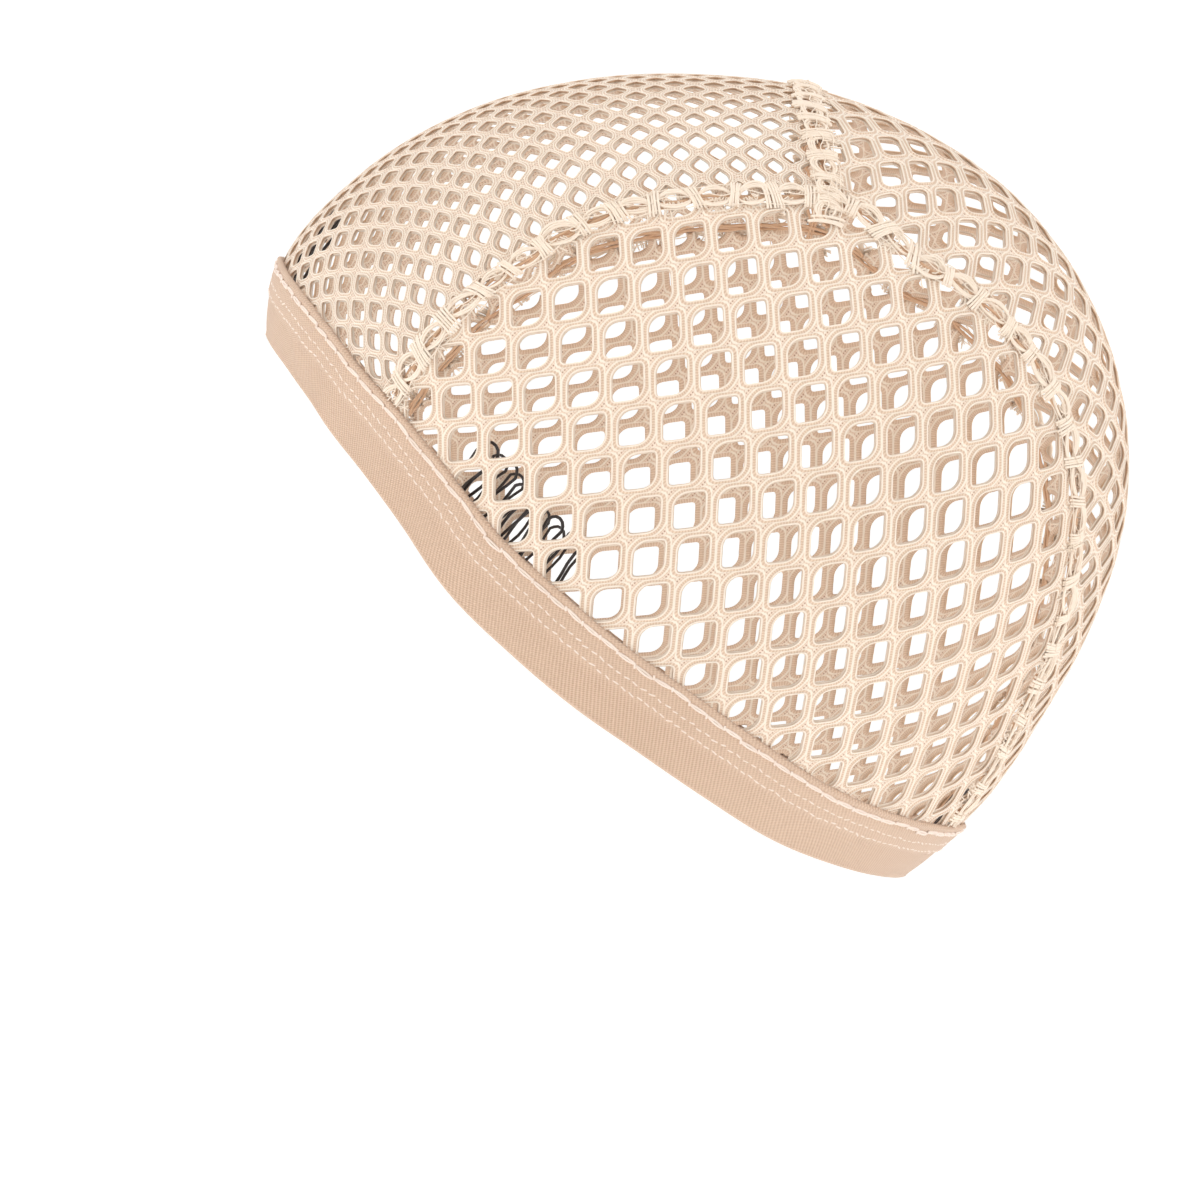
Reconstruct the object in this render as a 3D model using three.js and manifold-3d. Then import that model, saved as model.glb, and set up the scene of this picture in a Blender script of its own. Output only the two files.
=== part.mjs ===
import * as THREE from 'three';
import { mergeVertices } from 'three/addons/utils/BufferGeometryUtils.js';
import Module from 'manifold-3d';

// A wig cap in its worn form. Millimetres, +Z up, forehead towards -Y, the wearer's left towards +X.
// The origin is the centre of the slanted opening that the head goes into.

// Head form: an outline in the middle plane, drawn in to flattened sides round an axis from ear to ear
const capHalfWidth = 76;
const outlineReach = 100;
const earAxisBack = 26;
const earAxisUp = 17.5;
const sideFlatness = 2.3;

// Cloth and seams
const netWall = 1.4;
const bandWidth = 18;
const bandWall = 1.8;
const bandProud = 0.6;
const sideSeamWidth = 4.6;
const crownSeamWidth = 7;
const seamWall = 2.2;
const seamRise = 1.3;
const pieceGap = 0.3;

// Sheets of net before they are laid on the head. Each gap stands for a small group of the real net's
// holes. The turn of a sheet's rows is in degrees, and its shift is a share of the spacing of its gaps.
const sideSheet = { gap: 14.8, strand: 5.4, turn: 8, shift: { ahead: 0.5, aside: 0.5 } };
const frontSheet = { gap: 14.4, strand: 5.8, turn: 45, shift: { ahead: 0, aside: 0 } };
const backSheet = { gap: 15, strand: 5.4, turn: 14, shift: { ahead: 0, aside: 0 } };
const netMargin = 2.2;
const gapCut = { far: 0.34, near: 0.1 };

// Wire combs, each loop's tip drawn in to a share of its width
const combWidth = 34;
const combLoops = 6;
const toothLength = 22;
const toothWave = 0.8;
const tipShare = 0.6;
const wireThickness = 1;
const spineThickness = 2.2;
const spineClearance = 0.35;
const toothClearance = 1;

// Steps of the faceted model
const bandSteps = 64;
const spineSteps = 6;
const spineSides = 6;
const wireSteps = 11;
const wireSides = 4;
const wireTension = 0.3;
const rimEdgeSteps = 24;
const frontGrid = { along: 13, across: 14 };
const backGrid = { along: 20, across: 14 };
const walkStep = 3;
const curveSamples = 72;
const meeting = { samples: 40, passes: 5 };
const turnMargin = 1e-6;
const chartTurn = 0.23;

// Outline from the ear axis, from behind the neck over the crown to the face, as shares of outlineReach
const outline = [
  { angle: -60, reach: 0.889 },
  { angle: -45, reach: 0.872 },
  { angle: -30, reach: 0.86 },
  { angle: -15, reach: 0.883 },
  { angle: 0, reach: 0.924 },
  { angle: 15, reach: 0.956 },
  { angle: 30, reach: 0.977 },
  { angle: 45, reach: 0.985 },
  { angle: 60, reach: 0.979 },
  { angle: 75, reach: 0.976 },
  { angle: 90, reach: 0.977 },
  { angle: 105, reach: 1.001 },
  { angle: 120, reach: 1.038 },
  { angle: 135, reach: 1.071 },
  { angle: 150, reach: 1.082 },
  { angle: 165, reach: 0.975 },
  { angle: 180, reach: 0.9 },
  { angle: 195, reach: 0.89 },
  { angle: 210, reach: 0.915 },
  { angle: 225, reach: 0.945 },
  { angle: 240, reach: 0.96 },
  { angle: 255, reach: 0.945 },
  { angle: 270, reach: 0.92 },
  { angle: 285, reach: 0.9 },
];

// Lines on the head form: an angle about the ear axis, and a share of the outline's reach at that angle
const rimRows = [
  { angle: 148, out: 1 },
  { angle: 150, out: 0.945 },
  { angle: 153, out: 0.85 },
  { angle: 156.5, out: 0.772 },
  { angle: 161, out: 0.686 },
  { angle: 170, out: 0.587 },
  { angle: 185, out: 0.497 },
  { angle: 206, out: 0.388 },
  { angle: 234, out: 0.337 },
  { angle: 263, out: 0.394 },
  { angle: 283, out: 0.538 },
  { angle: 294, out: 0.694 },
  { angle: 303, out: 0.856 },
  { angle: 308.5, out: 0.966 },
  { angle: 310.7, out: 1 },
];
const sideSeamRows = [
  { angle: 168, out: 0.774 },
  { angle: 158, out: 0.69 },
  { angle: 148.5, out: 0.638 },
  { angle: 138, out: 0.631 },
  { angle: 125, out: 0.632 },
  { angle: 113, out: 0.658 },
  { angle: 95, out: 0.682 },
  { angle: 80, out: 0.705 },
  { angle: 66, out: 0.738 },
  { angle: 50, out: 0.71 },
  { angle: 42, out: 0.738 },
  { angle: 25, out: 0.793 },
  { angle: 10, out: 0.833 },
  { angle: -5, out: 0.866 },
  { angle: -20, out: 0.909 },
  { angle: -35, out: 0.936 },
  { angle: -48, out: 0.957 },
  { angle: -60, out: 0.98 },
];
const crownSeamRows = [
  { angle: 68, out: 0.68 },
  { angle: 70, out: 0.76 },
  { angle: 72.5, out: 0.83 },
  { angle: 74.5, out: 0.89 },
  { angle: 76.5, out: 0.965 },
  { angle: 77, out: 1 },
];

// How far a sheet of net runs from the crown seam, and out from an ear or the middle line, as shares of
// outlineReach
const lengthReach = 2.2;
const sideReach = 1;

// Section of the band: how far down from its top edge, and out from its inner face, as shares of its
// width and of its wall
const bandSection = [
  { down: 0, lift: 0.5 },
  { down: 0.06, lift: 1 },
  { down: 0.5, lift: 1 },
  { down: 0.94, lift: 1 },
  { down: 1, lift: 0.5 },
  { down: 0.94, lift: 0 },
  { down: 0.5, lift: 0 },
  { down: 0.06, lift: 0 },
];

// Combs: place along the rim as a share of it from the forehead, and depth of the spine as a share
// of the band's width
const combSeats = [
  { name: 'comb_front', place: 0, depth: 0.3 },
  { name: 'comb_left', place: 0.205, depth: 0.6 },
  { name: 'comb_nape', place: 0.5, depth: 0.5 },
];

const wasm = await Module();
wasm.setup();

// Radius of the outline at an angle in radians, smooth through its rows
function outlineAt(turn) {
  const spacing = 360 / outline.length;
  const place = (THREE.MathUtils.radToDeg(turn) - outline[0].angle) / spacing;
  const row = Math.floor(place);
  const t = place - row;
  const reach = (step) => outline[THREE.MathUtils.euclideanModulo(row + step, outline.length)].reach;
  const slopeIn = (reach(1) - reach(-1)) / 2;
  const slopeOut = (reach(2) - reach(0)) / 2;
  const cubic = 2 * (reach(0) - reach(1)) + slopeIn + slopeOut;
  const square = 3 * (reach(1) - reach(0)) - 2 * slopeIn - slopeOut;
  return outlineReach * (reach(0) + t * (slopeIn + t * (square + t * cubic)));
}

// How far a point is outside the head form, and the slope of that measure
function headField(point) {
  const back = point.y - earAxisBack;
  const up = point.z - earAxisUp;
  const reach = Math.hypot(back, up);
  const turn = Math.atan2(up, back);
  const full = outlineAt(turn);
  const nudge = 0.001;
  const growth = (outlineAt(turn + nudge) - outlineAt(turn - nudge)) / (2 * nudge * full);
  const pull = (sideFlatness / full) * (reach / full) ** (sideFlatness - 1);
  const slope = new THREE.Vector3(
    (2 * point.x) / capHalfWidth ** 2,
    pull * (Math.cos(turn) + growth * Math.sin(turn)),
    pull * (Math.sin(turn) - growth * Math.cos(turn)),
  );
  const value = (point.x / capHalfWidth) ** 2 + (reach / full) ** sideFlatness - 1;
  return { value, slope };
}

// Moves a nearby point onto the head form
function settle(point) {
  for (let pass = 0; pass < 4; pass += 1) {
    const { value, slope } = headField(point);
    point.addScaledVector(slope, -value / slope.lengthSq());
  }
  return point;
}

function headNormal(point) {
  return headField(point).slope.normalize();
}

function lifted(point, lift) {
  const seat = settle(point.clone());
  return seat.addScaledVector(headNormal(seat), lift);
}

// Walks over the head form from a point, straight ahead for a distance
function walk(start, heading, distance) {
  const point = start.clone();
  const direction = heading.clone().normalize();
  const steps = Math.max(1, Math.ceil(Math.abs(distance) / walkStep));
  for (let step = 0; step < steps; step += 1) {
    point.addScaledVector(direction, distance / steps);
    settle(point);
    direction.projectOnPlane(headNormal(point)).normalize();
  }
  return { point, direction };
}

// A row of a line table as a point, on the wearer's left for side 1 and on the right for side -1
function headPoint(row, side) {
  const turn = THREE.MathUtils.degToRad(row.angle);
  const reach = row.out * outlineAt(turn);
  return new THREE.Vector3(
    side * capHalfWidth * Math.sqrt(1 - row.out ** sideFlatness),
    earAxisBack + reach * Math.cos(turn),
    earAxisUp + reach * Math.sin(turn),
  );
}

// The direction across a line on the head form, towards the crown or the forehead
function acrossLine(line, place) {
  const point = settle(line.getPointAt(place));
  return headNormal(point).cross(line.getTangentAt(place)).normalize();
}

// A line on the head form at a distance beside another one
function beside(line, distance) {
  const points = [];
  const count = line.closed ? curveSamples : curveSamples + 1;
  for (let step = 0; step < count; step += 1) {
    const place = step / curveSamples;
    points.push(settle(line.getPointAt(place).addScaledVector(acrossLine(line, place), distance)));
  }
  return new THREE.CatmullRomCurve3(points, line.closed);
}

function rimLine() {
  const left = rimRows.map((row) => headPoint(row, 1));
  const right = rimRows.slice(1, -1).reverse().map((row) => headPoint(row, -1));
  return new THREE.CatmullRomCurve3([...left, ...right], true);
}

function sideSeamLine() {
  return new THREE.CatmullRomCurve3(sideSeamRows.map((row) => headPoint(row, 1)));
}

function crownSeamLine() {
  const left = crownSeamRows.map((row) => headPoint(row, 1));
  const right = crownSeamRows.slice(0, -1).reverse().map((row) => headPoint(row, -1));
  return new THREE.CatmullRomCurve3([...left, ...right]);
}

// Where two lines meet, as a place on each, searched inside a range of places on each
function crossing(first, firstRange, second, secondRange) {
  const reachOf = (range) => (range[1] - range[0]) / meeting.samples;
  const places = (range) => Array.from(
    { length: meeting.samples + 1 },
    (_, i) => range[0] + i * reachOf(range),
  );
  let best = { first: firstRange[0], second: secondRange[0] };
  for (let pass = 0; pass < meeting.passes; pass += 1) {
    let nearest = Infinity;
    const secondPoints = places(secondRange).map((place) => ({ place, point: pointOn(second, place) }));
    for (const place of places(firstRange)) {
      const point = pointOn(first, place);
      for (const other of secondPoints) {
        const apart = point.distanceTo(other.point);
        if (apart < nearest) {
          nearest = apart;
          best = { first: place, second: other.place };
        }
      }
    }
    const firstReach = 2 * reachOf(firstRange);
    const secondReach = 2 * reachOf(secondRange);
    firstRange = [best.first - firstReach, best.first + firstReach];
    secondRange = [best.second - secondReach, best.second + secondReach];
  }
  return best;
}

// A point on a line: places run on round a closed line, and stop at an open line's ends
function pointOn(line, place) {
  const { euclideanModulo, clamp } = THREE.MathUtils;
  return line.getPointAt(line.closed ? euclideanModulo(place, 1) : clamp(place, 0, 1));
}

function stretchOf(line, from, to, steps) {
  return Array.from({ length: steps + 1 }, (_, i) => pointOn(line, from + ((to - from) * i) / steps));
}

// A four-sided piece of the head form, blended from its edges, at whole steps along and across
function patchPoint(edges, i, j) {
  const along = edges.low.length - 1;
  const across = edges.start.length - 1;
  const a = i / along;
  const b = j / across;
  const point = new THREE.Vector3()
    .addScaledVector(edges.low[i], 1 - b)
    .addScaledVector(edges.high[i], b)
    .addScaledVector(edges.start[j], 1 - a)
    .addScaledVector(edges.end[j], a)
    .addScaledVector(edges.low[0], -(1 - a) * (1 - b))
    .addScaledVector(edges.low[along], -a * (1 - b))
    .addScaledVector(edges.high[0], -(1 - a) * b)
    .addScaledVector(edges.high[along], -a * b);
  return settle(point);
}

// A geometry left with its positions only, with its shared vertices merged
function merged(geometry) {
  geometry.deleteAttribute('normal');
  geometry.deleteAttribute('uv');
  return mergeVertices(geometry, 1e-4);
}

function moveVertices(geometry, place) {
  const positions = geometry.attributes.position;
  for (let index = 0; index < positions.count; index += 1) {
    const point = place(new THREE.Vector3().fromBufferAttribute(positions, index));
    positions.setXYZ(index, point.x, point.y, point.z);
  }
  geometry.computeVertexNormals();
  return geometry;
}

// A wall over a patch, its lift above the head form given by the place across it and the face
function patchWall(edges, liftAt) {
  const along = edges.low.length - 1;
  const across = edges.start.length - 1;
  const box = merged(new THREE.BoxGeometry(along, across, 1, along, across, 1));
  return moveVertices(box, (corner) => {
    const i = Math.round(corner.x + along / 2);
    const j = Math.round(corner.y + across / 2);
    return lifted(patchPoint(edges, i, j), liftAt(j / across, corner.z > 0));
  });
}

const seamLift = (b, outside) => seamRise * Math.sin(Math.PI * b) - (outside ? 0 : seamWall);

function solidOf(geometry) {
  const mesh = merged(geometry);
  const vertProperties = Float32Array.from(mesh.attributes.position.array);
  const triVerts = Uint32Array.from(mesh.index.array);
  return new wasm.Manifold(new wasm.Mesh({ numProp: 3, vertProperties, triVerts }));
}

function geometryOf(solid) {
  const mesh = solid.getMesh();
  const geometry = new THREE.BufferGeometry();
  geometry.setAttribute('position', new THREE.BufferAttribute(mesh.vertProperties, 3));
  geometry.setIndex(new THREE.BufferAttribute(mesh.triVerts, 1));
  geometry.computeVertexNormals();
  return geometry;
}

// The corners of each gap in a flat sheet of net, about the sheet's own origin, for the seats that the
// sheet covers. A gap is a square with two opposite corners cut further than the others, as the
// staircase ribbons leave it.
function flatGaps({ gap, strand, turn, shift }, covers) {
  const half = gap / 2;
  const far = half - gap * gapCut.far;
  const near = half - gap * gapCut.near;
  const corners = [[near, half], [-far, half], [-half, far], [-half, -near], [-near, -half], [far, -half],
    [half, -far], [half, near]];
  const pitch = gap + strand;
  const count = Math.ceil((lengthReach * outlineReach) / pitch);
  const middle = new THREE.Vector2();
  const sheetTurn = THREE.MathUtils.degToRad(turn);
  const gaps = [];
  for (let column = -count; column <= count; column += 1) {
    for (let row = -count; row <= count; row += 1) {
      const seat = new THREE.Vector2(column + shift.ahead, row + shift.aside).multiplyScalar(pitch);
      if (!covers(seat.clone().rotateAround(middle, sheetTurn))) continue;
      gaps.push(corners.map(([x, y]) => new THREE.Vector2(x, y).add(seat).rotateAround(middle, sheetTurn)));
    }
  }
  return gaps;
}

// Where a spot of a flat sheet comes to lie when the sheet is laid on the wearer's left side
function overSide(spot) {
  const middle = new THREE.Vector3(capHalfWidth, earAxisBack, earAxisUp);
  return walk(middle, new THREE.Vector3(0, spot.x, spot.y), spot.length()).point;
}

// Where a spot comes to lie when the sheet runs from the crown, forward for way -1 and back for way 1
function overMiddle(spot, way) {
  const crown = headPoint(crownSeamRows.at(-1), 1);
  const row = walk(crown, new THREE.Vector3(0, way, 0), spot.x).point;
  return walk(row, new THREE.Vector3(1, 0, 0), spot.y).point;
}

// Angles of a point about the ear axis and away from the wearer's left ear
function anglesOf(point) {
  const turn = Math.atan2(point.z - earAxisUp, point.y - earAxisBack);
  const tilt = Math.acos(THREE.MathUtils.clamp(point.x / capHalfWidth, -1, 1));
  return { turn, tilt };
}

// Flat charts of the head form, to lay a panel out before it is cut: round an ear, and over the middle.
// They are turned a little, so that no two corners of a panel lie level.
function earChart(point) {
  const { turn, tilt } = anglesOf(point);
  return new THREE.Vector2(tilt * Math.cos(turn + chartTurn), tilt * Math.sin(turn + chartTurn));
}

function middleChart(point) {
  const { turn, tilt } = anglesOf(point);
  const ahead = THREE.MathUtils.euclideanModulo(turn + Math.PI / 2, 2 * Math.PI);
  return new THREE.Vector2(ahead, -tilt).rotateAround(new THREE.Vector2(), chartTurn);
}

function insideOutline(outlinePoints, spot) {
  let inside = false;
  outlinePoints.forEach((here, index) => {
    const next = outlinePoints[(index + 1) % outlinePoints.length];
    const spans = here.y > spot.y !== next.y > spot.y;
    const share = (spot.y - here.y) / (next.y - here.y);
    if (spans && spot.x < here.x + share * (next.x - here.x)) inside = !inside;
  });
  return inside;
}

// The gaps that leave a margin of net inside the panel's edge
function gapsInside(edge, gaps, chart) {
  const flatEdge = edge.map(chart);
  const sides = edge.map((point, index) => new THREE.Line3(point, edge[(index + 1) % edge.length]));
  const foot = new THREE.Vector3();
  const clear = (corner) => sides.every(
    (side) => side.closestPointToPoint(corner, true, foot).distanceTo(corner) > netMargin,
  );
  return gaps.filter((gap) => gap.every((corner) => insideOutline(flatEdge, chart(corner)) && clear(corner)));
}

// The angle at one corner of a flat triangle
function cornerAngle(spots, tip, left, right) {
  const first = spots[left].clone().sub(spots[tip]);
  const second = spots[right].clone().sub(spots[tip]);
  return first.angleTo(second);
}

// The triangles on each edge of a mesh: two inside it, and one along its rims
function edgeOwners(faces) {
  const owners = new Map();
  faces.forEach((face, index) => face.forEach((from, corner) => {
    const to = face[(corner + 1) % 3];
    const key = from < to ? `${from} ${to}` : `${to} ${from}`;
    if (!owners.has(key)) owners.set(key, []);
    owners.get(key).push({ index, from, to, tip: face[(corner + 2) % 3] });
  }));
  return [...owners.values()];
}

// Turns the shared edge of two triangles wherever that makes both of them plumper
function plump(faces, spots) {
  let turned = true;
  while (turned) {
    const changed = new Set();
    for (const pair of edgeOwners(faces)) {
      if (pair.length < 2 || pair.some(({ index }) => changed.has(index))) continue;
      const [one, two] = pair;
      const spread = pair.reduce((sum, { tip, from, to }) => sum + cornerAngle(spots, tip, from, to), 0);
      if (spread < Math.PI + turnMargin) continue;
      faces[one.index] = [one.tip, one.from, two.tip];
      faces[two.index] = [two.tip, one.to, one.tip];
      changed.add(one.index).add(two.index);
    }
    turned = changed.size > 0;
  }
  return faces;
}

// A net panel: a wall over the head form inside its edge, with gaps cut right through
function netPanel(edge, gaps, chart) {
  const loops = [edge, ...gapsInside(edge, gaps, chart)];
  const [outside, ...holes] = loops.map((loop) => loop.map(chart));
  const faces = plump(THREE.ShapeUtils.triangulateShape(outside, holes), [outside, ...holes].flat());
  const points = loops.flat();
  const count = points.length;
  const triangles = faces.flatMap(([a, b, c]) => [[a, b, c], [c + count, b + count, a + count]]);
  for (const owners of edgeOwners(faces)) {
    if (owners.length === 2) continue;
    const { from, to } = owners[0];
    triangles.push([to, from, from + count], [to, from + count, to + count]);
  }
  const vertices = [0, -netWall].flatMap((lift) => points.map((point) => lifted(point, lift)));
  const geometry = new THREE.BufferGeometry().setFromPoints(vertices);
  geometry.setIndex(triangles.flat());
  geometry.computeVertexNormals();
  return geometry;
}

// The band: a ring whose section runs down from the rim line
function bandGeometry(rim) {
  const ringRadius = 2;
  const sides = bandSection.length;
  const ring = merged(new THREE.TorusGeometry(ringRadius, 1, sides, bandSteps));
  return moveVertices(ring, (corner) => {
    const place = THREE.MathUtils.euclideanModulo(Math.atan2(corner.y, corner.x) / (2 * Math.PI), 1);
    const turn = Math.atan2(corner.z, Math.hypot(corner.x, corner.y) - ringRadius);
    const step = Math.round((-turn / (2 * Math.PI)) * sides);
    const row = bandSection[THREE.MathUtils.euclideanModulo(step, sides)];
    const point = rim.getPointAt(place).addScaledVector(acrossLine(rim, place), -row.down * bandWidth);
    return lifted(point, bandProud - bandWall * (1 - row.lift));
  });
}

// A comb: one wire bent to and fro into wavy teeth, with its feet in a spine under the band
function combGeometry(rim, seat) {
  const rimLength = rim.getLength();
  const spineLift = bandProud - bandWall - spineClearance - spineThickness / 2;
  const wireLift = -netWall - toothClearance - wireThickness / 2;
  const place = (along, height) => {
    const at = THREE.MathUtils.euclideanModulo(seat.place + along / rimLength, 1);
    const foot = settle(rim.getPointAt(at));
    return walk(foot, acrossLine(rim, at), height - seat.depth * bandWidth).point;
  };
  const spineRows = Array.from(
    { length: spineSteps + 1 },
    (_, i) => place(combWidth * (i / spineSteps - 0.5), 0),
  );
  const spine = new THREE.ExtrudeGeometry(roundSection(spineThickness, spineSides), {
    steps: spineSteps,
    extrudePath: new THREE.CatmullRomCurve3(spineRows.map((point) => lifted(point, spineLift))),
  });
  const pitch = combWidth / (combLoops + 0.5);
  let solid = solidOf(spine);
  for (let loop = 0; loop < combLoops; loop += 1) {
    const middle = pitch * (loop + 0.5 - combLoops / 2);
    const leg = pitch / 4;
    const rows = [0, 0.25, 0.5, 0.75, 1];
    const waved = (side) => rows.map((share, i) => {
      const swing = i % 2 ? toothWave : -toothWave;
      const narrow = share === 1 ? tipShare : 1;
      return place(middle + side * leg * narrow + (share === 0 ? 0 : swing), toothLength * share);
    });
    const path = [...waved(-1), ...waved(1).reverse()].map((point) => lifted(point, wireLift));
    const wire = new THREE.ExtrudeGeometry(roundSection(wireThickness, wireSides), {
      steps: wireSteps,
      extrudePath: new THREE.CatmullRomCurve3(path, false, 'catmullrom', wireTension),
    });
    solid = solid.add(solidOf(wire));
  }
  return geometryOf(solid);
}

function roundSection(thickness, sides) {
  const shape = new THREE.Shape();
  for (let side = 0; side < sides; side += 1) {
    const turn = (2 * Math.PI * side) / sides;
    const x = (thickness / 2) * Math.cos(turn);
    const y = (thickness / 2) * Math.sin(turn);
    if (side === 0) shape.moveTo(x, y);
    else shape.lineTo(x, y);
  }
  return shape;
}

// The same geometry on the other side of the head
function mirrored(geometry) {
  const copy = geometry.clone().scale(-1, 1, 1);
  const index = copy.index;
  for (let corner = 0; corner < index.count; corner += 3) {
    const first = index.getX(corner);
    index.setX(corner, index.getX(corner + 2));
    index.setX(corner + 2, first);
  }
  copy.computeVertexNormals();
  return copy;
}

const rim = rimLine();
const netEdge = beside(rim, pieceGap);
const sideSeam = sideSeamLine();
const crownSeam = crownSeamLine();
const crownFront = beside(crownSeam, crownSeamWidth / 2 + pieceGap);
const crownBack = beside(crownSeam, -crownSeamWidth / 2 - pieceGap);
const sideSeamReach = sideSeamWidth / 2 + pieceGap;

// Where along each line the others can meet it
const rimFrontRange = [0, 0.25];
const rimBackRange = [0.25, 0.5];
const seamFrontRange = [0, 0.35];
const seamMiddleRange = [0.2, 0.7];
const seamBackRange = [0.65, 1];
const crownLeftRange = [0, 0.5];

// A line beside the left seam in three stretches, parted where the crown seam meets it, with the
// places where it meets the rim and the edges of the crown seam
function seamEdge(distance) {
  const line = beside(sideSeam, distance);
  const rimFront = crossing(netEdge, rimFrontRange, line, seamFrontRange);
  const crownStart = crossing(crownFront, crownLeftRange, line, seamMiddleRange);
  const crownEnd = crossing(crownBack, crownLeftRange, line, seamMiddleRange);
  const rimBack = crossing(netEdge, rimBackRange, line, seamBackRange);
  return {
    line,
    rimFront,
    rimBack,
    crownStart,
    crownEnd,
    front: stretchOf(line, rimFront.second, crownStart.second, frontGrid.along),
    crown: stretchOf(line, crownStart.second, crownEnd.second, 1),
    back: stretchOf(line, crownEnd.second, rimBack.second, backGrid.along),
  };
}

const wholeEdge = ({ front, crown, back }) => [...front, ...crown.slice(1), ...back.slice(1)];
const otherSide = (points) => points.map((point) => new THREE.Vector3(-point.x, point.y, point.z));

// The side panel, inside the side seam and above the band
function sideNet() {
  const seam = seamEdge(-sideSeamReach);
  const low = stretchOf(netEdge, seam.rimFront.first, seam.rimBack.first, rimEdgeSteps);
  const edge = [...low.slice(0, -1), ...wholeEdge(seam).slice(1).reverse()];
  const covers = (seat) => seat.length() < sideReach * outlineReach;
  const gaps = flatGaps(sideSheet, covers).map((corners) => corners.map(overSide));
  return netPanel(edge, gaps, earChart);
}

// A panel over the middle of the head, from its first cross edge to its last one
function middleNet(leftEdge, start, end, sheet, way) {
  const edge = [...leftEdge.slice(0, -1), ...end.slice(0, -1)];
  edge.push(...otherSide(leftEdge).reverse().slice(0, -1), ...start.reverse().slice(0, -1));
  const covers = (seat) => seat.x > 0 && Math.abs(seat.y) < sideReach * outlineReach;
  const gaps = flatGaps(sheet, covers).map((corners) => corners.map((spot) => overMiddle(spot, way)));
  return netPanel(edge, gaps, middleChart);
}

function frontNet() {
  const seam = seamEdge(sideSeamReach);
  const rimPlace = seam.rimFront.first;
  const crownPlace = seam.crownStart.first;
  const start = stretchOf(netEdge, rimPlace, -rimPlace, frontGrid.across);
  const end = stretchOf(crownFront, crownPlace, 1 - crownPlace, frontGrid.across);
  return middleNet(seam.front, start, end, frontSheet, -1);
}

function backNet() {
  const seam = seamEdge(sideSeamReach);
  const rimPlace = seam.rimBack.first;
  const crownPlace = seam.crownEnd.first;
  const start = stretchOf(crownBack, crownPlace, 1 - crownPlace, backGrid.across);
  const end = stretchOf(netEdge, rimPlace, 1 - rimPlace, backGrid.across);
  return middleNet(seam.back, start, end, backSheet, 1);
}

function sideSeamGeometry() {
  const low = seamEdge(-sideSeamWidth / 2);
  const high = seamEdge(sideSeamWidth / 2);
  return patchWall({
    low: wholeEdge(low),
    high: wholeEdge(high),
    start: stretchOf(netEdge, low.rimFront.first, high.rimFront.first, 2),
    end: stretchOf(netEdge, low.rimBack.first, high.rimBack.first, 2),
  }, seamLift);
}

function crownSeamGeometry() {
  const seam = seamEdge(sideSeamReach);
  const edgeOf = (line) => {
    const meet = crossing(line, crownLeftRange, seam.line, seamMiddleRange);
    return { seamPlace: meet.second, points: stretchOf(line, meet.first, 1 - meet.first, frontGrid.across) };
  };
  const low = edgeOf(beside(crownSeam, -crownSeamWidth / 2));
  const high = edgeOf(beside(crownSeam, crownSeamWidth / 2));
  const start = stretchOf(seam.line, low.seamPlace, high.seamPlace, 2);
  return patchWall({ low: low.points, high: high.points, start, end: otherSide(start) }, seamLift);
}

const netCloth = new THREE.MeshStandardMaterial({ color: 0xf6e3cb, roughness: 0.85, metalness: 0 });
const bandCloth = new THREE.MeshStandardMaterial({ color: 0xe9c9ab, roughness: 0.8, metalness: 0 });
const seamCloth = new THREE.MeshStandardMaterial({ color: 0xf8ead6, roughness: 0.9, metalness: 0 });
const combWire = new THREE.MeshStandardMaterial({ color: 0x2a2020, roughness: 0.35, metalness: 0.6 });

const cap = new THREE.Group();

function addPiece(name, geometry, material) {
  const piece = new THREE.Mesh(geometry, material.clone());
  piece.name = name;
  cap.add(piece);
}

const leftNet = sideNet();
const leftSeam = sideSeamGeometry();

addPiece('band', bandGeometry(rim), bandCloth);
addPiece('net_left', leftNet, netCloth);
addPiece('net_right', mirrored(leftNet), netCloth);
addPiece('net_front', frontNet(), netCloth);
addPiece('net_back', backNet(), netCloth);
addPiece('seam_left', leftSeam, seamCloth);
addPiece('seam_right', mirrored(leftSeam), seamCloth);
addPiece('crown_seam', crownSeamGeometry(), seamCloth);
for (const seat of combSeats) {
  addPiece(seat.name, combGeometry(rim, seat), combWire);
}
const leftComb = cap.getObjectByName('comb_left');
addPiece('comb_right', mirrored(leftComb.geometry), combWire);

export default cap;
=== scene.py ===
import math
import bmesh
import bpy
import numpy as np
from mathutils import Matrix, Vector
from mathutils.kdtree import KDTree


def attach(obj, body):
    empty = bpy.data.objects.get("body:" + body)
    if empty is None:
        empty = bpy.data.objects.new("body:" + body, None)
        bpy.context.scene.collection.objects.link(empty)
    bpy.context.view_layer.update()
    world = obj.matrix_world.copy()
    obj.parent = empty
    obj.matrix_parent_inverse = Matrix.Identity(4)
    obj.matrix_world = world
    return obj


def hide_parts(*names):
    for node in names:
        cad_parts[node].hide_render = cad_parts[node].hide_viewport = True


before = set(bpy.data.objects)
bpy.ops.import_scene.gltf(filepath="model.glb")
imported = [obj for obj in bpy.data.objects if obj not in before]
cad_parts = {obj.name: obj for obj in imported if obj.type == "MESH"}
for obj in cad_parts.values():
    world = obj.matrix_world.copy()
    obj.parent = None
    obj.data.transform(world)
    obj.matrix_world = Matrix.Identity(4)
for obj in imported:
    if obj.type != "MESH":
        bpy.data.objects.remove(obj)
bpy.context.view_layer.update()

print("wig cap: frame loaded")

# Sizes are in millimetres and become metres as each mesh is finished
mm = 0.001

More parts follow.
